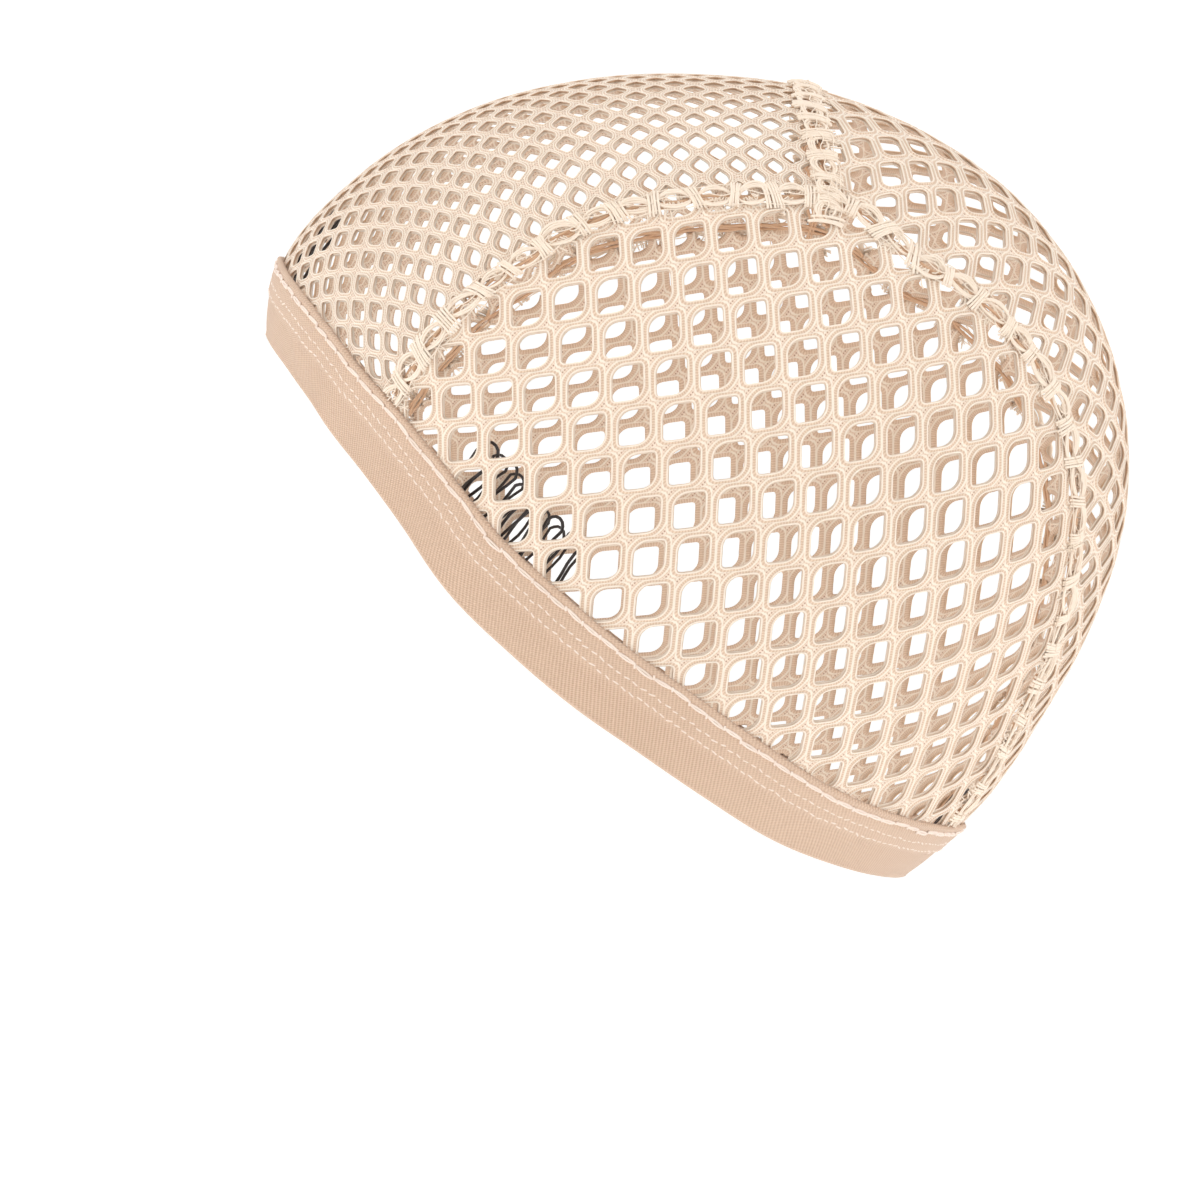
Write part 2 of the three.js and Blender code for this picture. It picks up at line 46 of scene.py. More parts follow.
# The worn form that every cloth piece is laid on
wornForm = {
    "halfWidth": 76,          # from the middle out to one side
    "reach": 100,             # the outline's rows are shares of this
    "earBack": 26,
    "earUp": 17.5,
    "flatness": 2.3,          # how flat the sides are
    "firstAngle": -60,
    "angleStep": 15,
    "outline": [.889, .872, .86, .883, .924, .956, .977, .985, .979, .976, .977, 1.001,
                1.038, 1.071, 1.082, .975, .90, .89, .915, .945, .96, .945, .92, .90],
}

# Lines on the form: an angle about the ear axis in degrees, and a share of the outline's reach there
lines = {
    "rim": [(148, 1), (150, .945), (153, .85), (156.5, .772), (161, .686), (170, .587), (185, .497),
            (206, .388), (234, .337), (263, .394), (283, .538), (294, .694), (303, .856),
            (308.5, .966), (310.7, 1)],
    "sideSeam": [(168, .774), (158, .69), (148.5, .638), (138, .631), (125, .632), (113, .658),
                 (95, .682), (80, .705), (66, .738), (50, .71), (42, .738), (25, .793), (10, .833),
                 (-5, .866), (-20, .909), (-35, .936), (-48, .957), (-60, .98)],
    "crownSeam": [(68, .68), (70, .76), (72.5, .83), (74.5, .89), (76.5, .965), (77, 1)],
    "samples": 480,
}


# Reach of the outline at each angle, and its slope
def outlineAt(turn):
    rows = np.array(wornForm["outline"])
    place = (np.degrees(turn) - wornForm["firstAngle"]) / wornForm["angleStep"]
    row = np.floor(place).astype(int)
    t = place - row
    before, here, ahead, beyond = (rows[(row + step) % len(rows)] for step in (-1, 0, 1, 2))
    slopeIn, slopeOut = (ahead - before) / 2, (beyond - here) / 2
    cubic = 2 * (here - ahead) + slopeIn + slopeOut
    square = 3 * (ahead - here) - 2 * slopeIn - slopeOut
    reach = here + t * (slopeIn + t * (square + t * cubic))
    slope = (slopeIn + t * (2 * square + 3 * t * cubic)) / math.radians(wornForm["angleStep"])
    return wornForm["reach"] * reach, wornForm["reach"] * slope


# How far each point is outside the form, and the slope of that measure
def formField(points):
    back = points[:, 1] - wornForm["earBack"]
    up = points[:, 2] - wornForm["earUp"]
    reach = np.hypot(back, up)
    full, slope = outlineAt(np.arctan2(up, back))
    power = wornForm["flatness"]
    pull = power / full * (np.maximum(reach, 1e-6) / full) ** (power - 1)
    cosine, sine, growth = back / np.maximum(reach, 1e-6), up / np.maximum(reach, 1e-6), slope / full
    steep = np.stack([2 * points[:, 0] / wornForm["halfWidth"] ** 2,
                      pull * (cosine + growth * sine), pull * (sine - growth * cosine)], 1)
    return (points[:, 0] / wornForm["halfWidth"]) ** 2 + (reach / full) ** power - 1, steep


def unit(vectors):
    return vectors / np.maximum(np.linalg.norm(vectors, axis=1), 1e-9)[:, None]


def settle(points, passes=4):
    points = np.array(points, float)
    for _ in range(passes):
        value, slope = formField(points)
        points -= slope * (value / (slope ** 2).sum(1))[:, None]
    return points


def formNormal(points):
    return unit(formField(points)[1])


# Walks over the form from each start, straight ahead for its distance
def walk(start, heading, distance, stepLength=3):
    points, way = np.array(start, float), unit(np.array(heading, float))
    distance = np.asarray(distance, float)
    steps = max(1, int(np.ceil(np.abs(distance).max() / stepLength)))
    for _ in range(steps):
        points = settle(points + way * (distance / steps)[:, None], 1)
        normal = formNormal(points)
        way = unit(way - normal * (way * normal).sum(1)[:, None])
    return settle(points, 2), way


def formPoints(rows):
    rows = np.array(rows, float)
    turn = np.radians(rows[:, 0])
    reach = rows[:, 1] * outlineAt(turn)[0]
    across = wornForm["halfWidth"] * np.sqrt(np.maximum(0, 1 - rows[:, 1] ** wornForm["flatness"]))
    return np.stack([across, wornForm["earBack"] + reach * np.cos(turn),
                     wornForm["earUp"] + reach * np.sin(turn)], 1)


# A line on the form, smooth through its rows, with evenly spaced samples
class FormLine:
    def __init__(self, points, closed=False):
        self.closed = closed
        points = np.array(points, float)
        if closed:
            padded = np.concatenate([points[-1:], points, points[:2]])
        else:
            padded = np.concatenate([2 * points[:1] - points[1:2], points, 2 * points[-1:] - points[-2:-1]])
        t = np.linspace(0, 1, 40, endpoint=False)[:, None]
        parts = []
        for p0, p1, p2, p3 in zip(padded, padded[1:], padded[2:], padded[3:]):
            parts.append(p1 + t * ((p2 - p0) / 2 + t * ((2 * p0 - 5 * p1 + 4 * p2 - p3) / 2
                         + t * (3 * p1 - p0 - 3 * p2 + p3) / 2)))
        parts.append(points[:1] if closed else points[-1:])
        fine = settle(np.concatenate(parts))
        self.gone = np.r_[0, np.cumsum(np.linalg.norm(np.diff(fine, axis=0), axis=1))]
        self.fine = fine
        self.length = self.gone[-1]

    # Points, directions along, and directions across towards the crown, at distances along the line
    def at(self, distance):
        distance = np.asarray(distance, float)
        if self.closed:
            distance = distance % self.length
        def place(where):
            where = where % self.length if self.closed else np.clip(where, 0, self.length)
            return np.stack([np.interp(where, self.gone, self.fine[:, axis]) for axis in range(3)], 1)
        points = settle(place(distance), 2)
        along = unit(place(distance + 0.6) - place(distance - 0.6))
        return points, along, unit(np.cross(formNormal(points), along))

    # Points beside the line, at a height over the form
    def beside(self, distance, aside, lift):
        points, along, across = self.at(distance)
        aside = np.broadcast_to(np.asarray(aside, float), (len(points),))
        points = walk(points, across, aside)[0]
        return points + formNormal(points) * np.broadcast_to(lift, (len(points),))[:, None]

    # Many flat paths at once: rows of distance, aside and lift
    def layAll(self, paths):
        ends = np.cumsum([len(path) for path in paths])[:-1]
        return np.split(self.beside(*np.concatenate(paths).T), ends)

    # How far points lie beside the line, on its crown side if positive
    def asideOf(self, points):
        samples, _, across = self.at(np.linspace(0, self.length, lines["samples"], endpoint=not self.closed))
        tree = KDTree(len(samples))
        for index, sample in enumerate(samples):
            tree.insert(sample, index)
        tree.balance()
        found = [tree.find(point)[1:] for point in points]
        near, apart = (np.array(column) for column in zip(*found))
        return np.sign(((points - samples[near]) * across[near]).sum(1)) * apart


leftRim = formPoints(lines["rim"])
rightRim = leftRim[1:-1][::-1] * [-1, 1, 1]
rim = FormLine(np.concatenate([leftRim, rightRim]), closed=True)
sideSeam = FormLine(formPoints(lines["sideSeam"]))
leftCrown = formPoints(lines["crownSeam"])
crownSeam = FormLine(np.concatenate([leftCrown, leftCrown[:-1][::-1] * [-1, 1, 1]]))
print("wig cap: form and seam lines ready, rim", round(rim.length), "mm round")


# Camera and light, at the photograph's angle
studio = {
    "distance": 1.5,                 # metres
    "aim": (0.00308, -0.00022),      # back and up of the picture's middle, metres
    "pictureWidth": 0.264,           # metres across the picture at the cap's middle
    "floorHeight": -0.17,
    "floorColour": (0.94, 0.935, 0.93),
    "floorGlow": 0.3,
    "world": 0.41,
    "lights": [                      # name, place, size, watts, warmth
        ("keyLight", (0.4, -1.5, 1.3), 0.7, 6.6, (1.0, 0.99, 0.98)),
        ("frontLight", (0.35, -1.7, 0.3), 1.0, 3.0, (1.0, 0.99, 0.98)),
        ("fillLight", (1.6, 0.3, 0.3), 1.1, 1.0, (1.0, 0.995, 0.99)),
        ("backLight", (0.35, 1.5, 1.0), 0.9, 5.2, (1.0, 0.995, 0.99)),
        ("farLight", (-1.3, 0.1, 1.0), 1.0, 3.4, (1.0, 0.99, 0.98)),
        ("topLight", (0.1, 0.1, 1.6), 0.9, 7.2, (1.0, 0.995, 0.99)),
    ],
}


def addStudio():
    scene = bpy.context.scene
    lens = bpy.data.cameras.new("cameraLens")
    lens.sensor_width = 36
    lens.lens = 36 * studio["distance"] / studio["pictureWidth"]
    lens.clip_end = 20
    camera = bpy.data.objects.new("camera", lens)
    camera.location = (studio["distance"], *studio["aim"])
    camera.rotation_euler = (math.radians(90), 0, math.radians(90))
    scene.collection.objects.link(camera)
    scene.camera = camera

    for name, place, size, power, colour in studio["lights"]:
        lamp = bpy.data.lights.new(name, "AREA")
        lamp.size, lamp.energy, lamp.color = size, power, colour
        lampObject = bpy.data.objects.new(name, lamp)
        lampObject.location = place
        lampObject.rotation_euler = (-Vector(place)).to_track_quat("-Z", "Y").to_euler()
        scene.collection.objects.link(lampObject)

    scene.view_settings.view_transform = "Standard"
    world = bpy.data.worlds.new("studioWorld")
    world.use_nodes = True
    world.node_tree.nodes["Background"].inputs["Color"].default_value = (1, 0.985, 0.965, 1)
    world.node_tree.nodes["Background"].inputs["Strength"].default_value = studio["world"]
    scene.world = world

    # floor that sweeps up far behind the cap, on every side
    bm = bmesh.new()
    bmesh.ops.create_circle(bm, cap_ends=True, segments=96, radius=3.2)
    rimEdges = [e for e in bm.edges if e.is_boundary]
    wall = bmesh.ops.extrude_edge_only(bm, edges=rimEdges)["geom"]
    bmesh.ops.translate(bm, vec=(0, 0, 2.2), verts=[v for v in wall if isinstance(v, bmesh.types.BMVert)])
    bmesh.ops.bevel(bm, geom=rimEdges, offset=1.2, offset_type="OFFSET", segments=12, profile=0.5,
                    affect="EDGES", material=-1)
    bmesh.ops.translate(bm, vec=(0, 0, studio["floorHeight"]), verts=bm.verts)
    bmesh.ops.recalc_face_normals(bm, faces=bm.faces)
    floor = meshObject("studioFloor", bm)
    floor.data.materials.append(floorPaint())


# A finished, smooth mesh object at the origin; its scale turns a bmesh in millimetres to metres
def meshObject(name, bm, scale=1.0):
    bmesh.ops.scale(bm, vec=(scale, scale, scale), verts=bm.verts)
    mesh = bpy.data.meshes.new(name)
    bm.to_mesh(mesh)
    bm.free()
    mesh.polygons.foreach_set("use_smooth", np.ones(len(mesh.polygons), bool))
    piece = bpy.data.objects.new(name, mesh)
    bpy.context.scene.collection.objects.link(piece)
    return piece


# Cloth faces point away from the middle of the form
def turnOut(bm):
    middle = Vector((0, wornForm["earBack"], wornForm["earUp"]))
    if sum(face.normal.dot(face.calc_center_median() - middle) for face in bm.faces) < 0:
        bmesh.ops.reverse_faces(bm, faces=bm.faces)


# Thread or wire: one piece from many centrelines in millimetres
def threadObject(name, paths, radius, sides=6):
    curve = bpy.data.curves.new(name, "CURVE")
    curve.dimensions = "3D"
    curve.bevel_depth = radius * mm
    curve.bevel_resolution = (sides - 4) // 2
    curve.use_fill_caps = True
    for path in paths:
        spline = curve.splines.new("POLY")
        spline.points.add(len(path) - 1)
        flat = np.c_[np.asarray(path) * mm, np.ones(len(path))]
        spline.points.foreach_set("co", flat.ravel())
    source = bpy.data.objects.new(name + "Curve", curve)
    bpy.context.scene.collection.objects.link(source)
    graph = bpy.context.evaluated_depsgraph_get()
    mesh = bpy.data.meshes.new_from_object(source.evaluated_get(graph))
    bpy.data.objects.remove(source)
    mesh.polygons.foreach_set("use_smooth", np.ones(len(mesh.polygons), bool))
    mesh.name = name
    mesh.materials.clear()
    piece = bpy.data.objects.new(name, mesh)
    bpy.context.scene.collection.objects.link(piece)
    return piece


# Shader numbers as expressions: wraps a socket, and each operator adds its Math node
class Signal:
    def __init__(self, paint, socket):
        self.paint, self.socket = paint, socket

    def join(self, operation, other, swapped=False):
        first, second = (other, self) if swapped else (self, other)
        return self.paint.node("ShaderNodeMath", {"operation": operation}, {0: first, 1: second})

    def __add__(self, other): return self.join("ADD", other)
    def __radd__(self, other): return self.join("ADD", other, True)
    def __sub__(self, other): return self.join("SUBTRACT", other)
    def __rsub__(self, other): return self.join("SUBTRACT", other, True)
    def __mul__(self, other): return self.join("MULTIPLY", other)
    def __rmul__(self, other): return self.join("MULTIPLY", other, True)
    def __truediv__(self, other): return self.join("DIVIDE", other)
    def __abs__(self): return self.paint.node("ShaderNodeMath", {"operation": "ABSOLUTE"}, {0: self})


class Paint:
    def __init__(self, name):
        self.material = bpy.data.materials.new(name)
        self.material.use_nodes = True
        self.tree = self.material.node_tree
        self.shader = self.tree.nodes["Principled BSDF"]

    # Any node: its settings first, then the values or links of its sockets
    def node(self, kind, settings={}, inputs={}, output=0):
        made = self.tree.nodes.new(kind)
        for key, value in settings.items():
            setattr(made, key, value)
        for key, value in inputs.items():
            if isinstance(value, Signal):
                self.tree.links.new(value.socket, made.inputs[key])
            else:
                made.inputs[key].default_value = value
        return Signal(self, made.outputs[output])

    def wave(self, signal):
        return self.node("ShaderNodeMath", {"operation": "SINE"}, {0: signal * (2 * math.pi)})

    # 1 inside a line of half that width round a middle, with soft sides
    def ridge(self, signal, middle, width, soft):
        inside = (width / 2 + soft - abs(signal - middle)) / (2 * soft)
        return self.node("ShaderNodeClamp", {}, {0: inside})

    def blend(self, share, first, second, how="MIX"):
        return self.node("ShaderNodeMix", {"data_type": "RGBA", "blend_type": how},
                         {0: share, 6: first, 7: second}, 2)

    def noise(self, scale, detail):
        where = self.node("ShaderNodeTexCoord", output=3)
        return self.node("ShaderNodeTexNoise", {}, {"Vector": where, "Scale": scale, "Detail": detail,
                                                    "Roughness": 0.55})

    def uv(self, name):
        where = self.node("ShaderNodeUVMap", {"uv_map": name})
        first = self.node("ShaderNodeSeparateXYZ", {}, {0: where})
        return first, Signal(self, first.socket.node.outputs[1])

    def bump(self, height, strength, depth):
        relief = self.node("ShaderNodeBump", {}, {"Strength": strength, "Distance": depth * mm,
                                                  "Height": height})
        self.tree.links.new(relief.socket, self.shader.inputs["Normal"])

    def finish(self, colour, roughness, **fixed):
        for socket, value in (("Base Color", colour), ("Roughness", roughness)):
            if isinstance(value, Signal):
                self.tree.links.new(value.socket, self.shader.inputs[socket])
            else:
                self.shader.inputs[socket].default_value = value
        for name, value in fixed.items():
            self.shader.inputs[name.replace("_", " ")].default_value = value
        return self.material


def tone(red, green, blue):
    linear = [c / 255 / 12.92 if c <= 10 else ((c / 255 + 0.055) / 1.055) ** 2.4 for c in (red, green, blue)]
    return (*linear, 1)


def floorPaint():
    paint = Paint("floorPaint")
    soft = paint.noise(2.0, 2)
    pale = (*studio["floorColour"], 1)
    shade = (*[c * 0.985 for c in studio["floorColour"]], 1)
    return paint.finish(paint.blend(soft, pale, shade), 0.8, Emission_Color=(1, 1, 1, 1),
                        Emission_Strength=studio["floorGlow"])


clothTones = {
    "cord": tone(255, 245, 231),
    "cordShade": tone(253, 237, 219),
    # the grooves between cords: partly the ladder's own gaps, partly painted shade in the groove
    "grooveShade": tone(225, 197, 172),
    "ladder": tone(249, 229, 210),
    # painted shade seen through the pinholes in the ladder
    "pinholeShade": tone(186, 146, 120),
    "band": tone(240, 214, 191),
    "bandWarm": tone(200, 165, 139),
    "bandPale": tone(234, 207, 184),
    "stitch": tone(252, 240, 230),
    "stitchShade": tone(236, 216, 202),
    "seam": tone(253, 242, 228),
    "seamShade": tone(244, 226, 206),
    # painted warm shade for the folded edges under the seams
    "fold": tone(238, 206, 176),
    "foldShade": tone(218, 178, 144),
    # painted warm shade for the inner walls of the net's holes
    "holeWallShade": tone(240, 208, 178),
    "fleck": tone(222, 196, 172),
}


# Net: bright cords beside pinkish ladder bands, with painted shade in the grooves, pinholes and hole walls, read
# from each strand's own map (rungs, mm from the hole)
def netPaint(net):
    paint = Paint(net["name"] + "Paint")
    rung, fromHole = paint.uv("strand")
    cords = None
    for middle, width in net["cords"]:
        line = paint.ridge(fromHole, middle, width, net["soft"])
        cords = line if cords is None else cords + line
    cords = paint.node("ShaderNodeClamp", {}, {0: cords})
    rungs = paint.node("ShaderNodeClamp", {}, {0: paint.wave(rung) * 1.6 + 0.5})
    outer = paint.node("ShaderNodeClamp", {}, {0: (fromHole - net["ladderFrom"]) * 4})
    rows = paint.node("ShaderNodeClamp", {}, {0: paint.wave(fromHole / net["ladderRow"]) * 2})
    # Pinholes between the ladder rungs are real openings; their dark brown colour is painted shade
    shadedPinholes = outer * rows * (1 - rungs) * 0.9
    drift = paint.noise(28, 3)
    fibre = paint.noise(1500, 2)
    # The grooves are painted darker between the rungs: partly the ladder's gaps, partly painted shade
    grooveShade = paint.blend(rungs * 0.6, clothTones["grooveShade"], clothTones["ladder"])
    ground = paint.blend(outer * 0.75, grooveShade, clothTones["ladder"])
    ground = paint.blend(shadedPinholes, ground, clothTones["pinholeShade"])
    cordTone = paint.blend(drift, clothTones["cord"], clothTones["cordShade"])
    colour = paint.blend(cords, ground, cordTone)
    # Painted shade: the holes' inner walls are tinted warmer and darker
    holeWallShade = paint.node("ShaderNodeClamp", {}, {0: (0.05 - fromHole) * 25})
    colour = paint.blend(holeWallShade, colour, clothTones["holeWallShade"])
    colour = paint.blend(fibre * 0.12, colour, clothTones["fleck"], "MULTIPLY")
    twist = paint.wave(rung * 1.5 + fromHole * 2.5)
    height = cords * (0.75 + 0.1 * twist) + (1 - cords) * rungs * 0.45 - shadedPinholes * 0.6 + fibre * 0.12
    paint.bump(height, 0.7, 0.3)
    return paint.finish(colour, 0.86 - cords * 0.06, Sheen_Weight=0.25, Sheen_Roughness=0.5,
                        Specular_IOR_Level=0.25)


def bandPaint(band):
    paint = Paint("bandPaint")
    along, down = paint.uv("strip")
    pitch = band["weavePitch"]
    doubled = paint.node("ShaderNodeClamp", {}, {0: (band["fold"] - down) * 4 + 0.5})
    hem = paint.node("ShaderNodeClamp", {}, {0: (down - band["width"] + band["hem"]) * 3 + 0.5})
    ribs = paint.wave(down / pitch)
    ticks = paint.wave(along / (pitch * 1.15) + 0.5 * down / pitch)
    weave = paint.node("ShaderNodeClamp", {}, {0: ribs * ticks * 0.9 + 0.55})
    rise = paint.wave(down / (pitch * 1.9) - along / (pitch * 60))
    drift, patch, fibre = paint.noise(22, 3), paint.noise(70, 4), paint.noise(1600, 2)
    ground = paint.blend(weave * 0.8, clothTones["bandWarm"], clothTones["band"])
    ground = paint.blend(patch * 0.25, ground, clothTones["bandPale"])
    ground = paint.blend(doubled * 0.25, ground, clothTones["bandPale"])
    ground = paint.blend(hem * 0.8, ground, clothTones["bandPale"])
    colour = paint.blend(drift * 0.25, ground, clothTones["bandWarm"])
    colour = paint.blend(fibre * 0.1, colour, clothTones["fleck"], "MULTIPLY")
    height = weave * 0.6 + rise * 0.12 + fibre * 0.15
    paint.bump(height, 0.9, 0.3)
    return paint.finish(colour, 0.82, Sheen_Weight=0.25, Sheen_Roughness=0.5, Specular_IOR_Level=0.25)


def threadPaint(name, pale, shade):
    paint = Paint(name)
    drift, fibre = paint.noise(45, 3), paint.noise(900, 3)
    colour = paint.blend(drift * 0.8, pale, shade)
    colour = paint.blend(fibre * 0.2, colour, clothTones["fleck"], "MULTIPLY")
    paint.bump(fibre, 0.5, 0.1)
    return paint.finish(colour, 0.84, Sheen_Weight=0.25, Sheen_Roughness=0.5, Specular_IOR_Level=0.25)


def wirePaint():
    paint = Paint("combWirePaint")
    drift, scuff = paint.noise(260, 3), paint.noise(1400, 2)
    colour = paint.blend(drift, tone(44, 34, 34), tone(24, 19, 20))
    worn = paint.node("ShaderNodeClamp", {}, {0: (scuff - 0.62) * 6})
    colour = paint.blend(worn * 0.35, colour, tone(92, 78, 72))
    paint.bump(scuff, 0.2, 0.03)
    return paint.finish(colour, 0.3 + drift * 0.14, Metallic=0.35, Coat_Weight=0.4, Coat_Roughness=0.2)


# Coarse and fine nets. Each panel is laid from its own middle: flat millimetres along two directions there
coarseStrand = {
    "halves": (0.357, 0.397),    # hole's half sizes, as shares of the two lattice steps
    "cut": 1.7,                  # the two cut corners, mm
    "round": 1.6,                # how far the square corners are rounded, mm
    "cutRound": 0.44,            # and the cut ones, as a share of the cut
    "roundSteps": 3,
    "rings": [0.68, 0.52, 0.4, 0.08, 0],         # mm from the hole
    "lifts": [-0.05, 0, 0.22, 0.2, -0.12],
    "middleCord": 1.25,
    "middleLift": 0.2,
    "edgeCuts": 6,
    "rungs": 50,
    "cords": [(0.22, 0.4), (1.22, 0.42), (2.5, 0.3)],
    "soft": 0.08,
    "ladderFrom": 1.5,
    "ladderRow": 0.62,
    "thickness": 1.0,
}
fineStrand = {
    "halves": (0.366, 0.366),
    "cut": 1.15,
    "round": 0.8,
    "cutRound": 0.44,
    "roundSteps": 2,
    "rings": [0.44, 0.32, 0.08, 0],
    "lifts": [-0.03, 0.14, 0.15, -0.1],
    "middleCord": 0.78,
    "middleLift": 0.13,
    "edgeCuts": 2,
    "rungs": 30,
    "cords": [(0.19, 0.32), (0.76, 0.28)],
    "soft": 0.06,
    "ladderFrom": 0.95,
    "ladderRow": 0.5,
    "thickness": 0.9,
}
nets = {
    "left": {
        "name": "netLeft", "node": "net_left", "strand": coarseStrand,
        "middle": (76, 26, 17.5), "headings": ((0, 1, 0), (0, 0, 1)),
        "steps": ((9.31, 1.28), (-1.49, 9.6)), "lean": 1, "hole": (-7.9, 29.2),
        "stretch": ((-0.01, 0.05), (-0.015, 0.08), (-0.09, 0.065)), "held": -200,
        "count": 13, "farthest": 125, "lift": 0,
        "flat": (0.165, 0.13), "area": 0.0165,      # cut size before it is stretched, metres
    },
    "front": {
        "name": "netFront", "node": "net_front", "strand": fineStrand,
        "middle": (0, -13.5, 111.5), "headings": ((0, -0.97, -0.25), (1, 0, 0)),
        "steps": ((-3.94, 4.07), (4.4, 4.17)), "lean": 0, "hole": (-30.15, 55.6),
        "stretch": ((0, -0.02), (0, 0.01), (-0.03, 0.03)), "held": 0,
        "count": 36, "farthest": 125, "lift": -0.1,
        "flat": (0.17, 0.15), "area": 0.019,
    },
    "back": {
        "name": "netBack", "node": "net_back", "strand": coarseStrand,
        "middle": (0, 113.6, 59.6), "headings": ((0, 0.37, -0.93), (1, 0, 0)),
        "steps": ((3.2, -7.55), (9.3, 3.9)), "lean": -5, "hole": (-10, 49.1),
        "stretch": ((0.23, 0.08), (-0.2, 0.1), (0, 0.02)), "held": 15,
        "count": 24, "farthest": 125, "lift": -0.2,
        "flat": (0.17, 0.15), "area": 0.0195,
    },
}
netEdge = {"underBand": 3.0, "pastSeam": -0.5}


# One net cell in flat millimetres: a hexagon hole ringed with cords, in a parallelogram of cloth
def netCell(net):
    strand = net["strand"]
    a, b = (np.array(step) for step in net["steps"])
    ways = np.array([a, b + a * net["lean"] / (strand["edgeCuts"] + 1)])     # the hole's own two directions
    lengths = np.hypot(*ways.T)
    reach = strand["rings"][0]
    hole = lengths * strand["halves"]
    (x, y), slant = hole + reach, strand["cut"] + (2 - math.sqrt(2)) * reach
    corners = [(x, y), (slant - x, y), (-x, y - slant), (-x, -y), (x - slant, -y), (x, slant - y)]
    bm = bmesh.new()
    bm.faces.new([bm.verts.new((*(corner / lengths @ ways), strand["lifts"][0])) for corner in corners])
    bm.verts.ensure_lookup_table()
    square = [bm.verts[0], bm.verts[3]]
    blunt = [vert for vert in bm.verts if vert not in square]
    cutRound = strand["cutRound"] * slant * np.hypot(*(ways / lengths[:, None]).sum(0))
    for geom, offset in ((square, strand["round"]), (blunt, cutRound)):
        bmesh.ops.bevel(bm, geom=geom, offset=offset, offset_type="OFFSET",
                        segments=strand["roundSteps"], profile=0.5, affect="VERTICES", material=-1)
    inside = bm.faces[:]
    fromHole = bm.verts.layers.float.new("fromHole")
    for vert in bm.verts:
        vert[fromHole] = reach
    for outer, inner, high in zip(strand["rings"], strand["rings"][1:], strand["lifts"][1:]):
        bmesh.ops.inset_region(bm, faces=inside, thickness=outer - inner, use_boundary=True, use_even_offset=True)
        for vert in inside[0].verts:
            vert.co.z = high
            vert[fromHole] = inner
    bmesh.ops.delete(bm, geom=inside, context="FACES_ONLY")
    outerLoop = [e for e in bm.edges if e.is_boundary and all(v[fromHole] > reach - 0.01 for v in e.verts)]

    shares = ((0.5, 0.5), (-0.5, 0.5), (-0.5, -0.5), (0.5, -0.5))
    ring = [bm.verts.new((*(np.array(share) @ ways), 0)) for share in shares]
    border = [bm.edges.new((ring[i], ring[i - 1])) for i in range(4)]
    split = bmesh.ops.subdivide_edges(bm, edges=border, cuts=strand["edgeCuts"])
    border = {e for e in split["geom"] if isinstance(e, bmesh.types.BMEdge)} | {e for e in border if e.is_valid}
    for vert in {v for edge in border for v in edge.verts}:
        x, y = np.linalg.solve(ways.T, np.array(vert.co.xy)) * lengths
        apart = (abs(x - y) - hole.sum() + strand["cut"]) / math.sqrt(2)
        aside = np.maximum(np.abs([x, y]) - hole + 0.6, 0) / (lengths / 2 - hole + 0.6)
        vert[fromHole] = max(strand["middleCord"] * np.hypot(*aside), apart)
        vert.co.z = strand["middleLift"] * (1 - (2 * abs(y) / lengths[1]) ** 4)
    bmesh.ops.triangle_fill(bm, edges=outerLoop + list(border), use_beauty=True, normal=(0, 0, 1))
    bmesh.ops.recalc_face_normals(bm, faces=bm.faces)

    # the strand's own map: rungs round the hole, and millimetres from it
    uv = bm.loops.layers.uv.new("strand")
    for face in bm.faces:
        turns = [math.atan2(loop.vert.co.y, loop.vert.co.x) / (2 * math.pi) for loop in face.loops]
        for loop, turn in zip(face.loops, turns):
            turn += 1 if max(turns) - turn > 0.5 else 0
            loop[uv].uv = (turn * strand["rungs"], loop.vert[fromHole])
    return bm


# A whole net: cells copied over the lattice, laid on the form and trimmed to its panel
def netPanel(net, panelKeep):
    a, b = (np.array(step) for step in net["steps"])
    place = np.array(net["hole"])
    cell = netCell(net)
    cellMesh = bpy.data.meshes.new("netCell")
    cell.to_mesh(cellMesh)
    shape = np.array([v.co for v in cell.verts])
    reaches = range(-net["count"], net["count"] + 1)
    spots = np.array([place + i * a + j * b for i in reaches for j in reaches])
    spots = spots[np.hypot(*spots.T) < net["farthest"]]
    spots = spots[panelKeep(laid(net, spots), 9)]
    bm = bmesh.new()
    for _ in spots:
        bm.from_mesh(cellMesh)
    flat = np.tile(shape, (len(spots), 1))
    flat[:, :2] += np.repeat(spots, len(shape), axis=0)
    for vert, point in zip(bm.verts, flat):
        vert.co = point
    bmesh.ops.remove_doubles(bm, verts=bm.verts, dist=0.05)
    cell.free()
    bpy.data.meshes.remove(cellMesh)

    flat = np.array([v.co for v in bm.verts])
    points = laid(net, flat[:, :2])
    out = formNormal(points)
    for vert, point in zip(bm.verts, points + out * (flat[:, 2] + net["lift"])[:, None]):
        vert.co = point
    keep = panelKeep(points, 0)
    bmesh.ops.delete(bm, geom=[v for v, stays in zip(bm.verts[:], keep) if not stays], context="VERTS")
    bm.normal_update()
    turnOut(bm)
    return bm


# The lattice is stretched more towards the crown, on the side that shows
def laid(net, spots):
    start, alongWay, acrossWay = (np.array(v, float) for v in (net["middle"], *net["headings"]))
    held = np.c_[spots[:, 0], np.maximum(spots[:, 1], net["held"])] - net["hole"]
    i, j = np.linalg.solve(np.array(net["steps"]).T, held.T)
    spots = spots + np.c_[i * i, i * j, j * j] @ np.array(net["stretch"])
    distance = np.maximum(np.hypot(*spots.T), 1e-6)
    heading = (spots[:, :1] * alongWay + spots[:, 1:] * acrossWay) / distance[:, None]
    return walk(np.tile(start, (len(spots), 1)), heading, distance)[0]


def onLeft(points):
    return np.abs(points) * [1, 0, 0] + points * [0, 1, 1]


